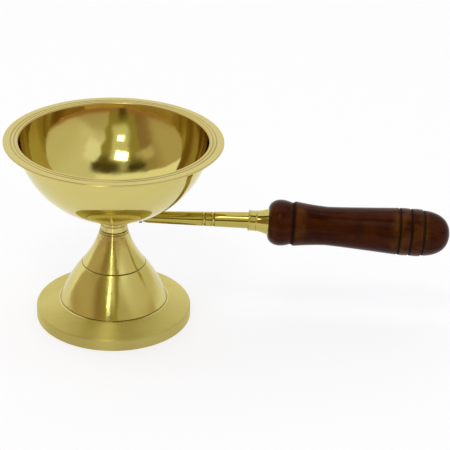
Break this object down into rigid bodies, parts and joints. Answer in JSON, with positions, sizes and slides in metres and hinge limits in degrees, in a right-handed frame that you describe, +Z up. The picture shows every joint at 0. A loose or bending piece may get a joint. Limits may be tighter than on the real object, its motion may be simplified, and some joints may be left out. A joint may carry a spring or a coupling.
{
  "type": "handled incense burner",
  "caption": "Footed brass incense burner: an open round bowl with a flat rim on a hollow flared pedestal, with a turned brass shank and a wooden grip held out to one side.",
  "frame": {"origin": "on the floor, under the middle of the whole length and width; the burner's own axis stands 56.0 mm from it towards -X", "axes": "+Z up along the axis of bowl and pedestal, +X along the handle from the bowl towards the grip's end, +Y across"},
  "size_m": [0.218, 0.106, 0.0955],
  "materials": {
    "turned_brass": "lathe-turned and buffed, with incised lines",
    "polished_brass": "mirror polished, with a finely turned satin rim",
    "bolt_brass": "plain, slightly tarnished",
    "handle_brass": "polished on the lathe",
    "plain_steel": "plain, dull",
    "blackened_steel": "forged and blackened",
    "lacquered_wood": "turned hardwood, stained reddish brown and lacquered"
  },
  "bodies": {
    "root": {"pedestal": "turned_brass", "bowl": "polished_brass", "bowl_bolt": "bolt_brass", "bolt_washer": "plain_steel", "bolt_nut": "plain_steel", "core_rod": "blackened_steel", "brass_shank": "handle_brass", "ferrule": "handle_brass", "wooden_grip": "lacquered_wood"}
  },
  "joints": []
}
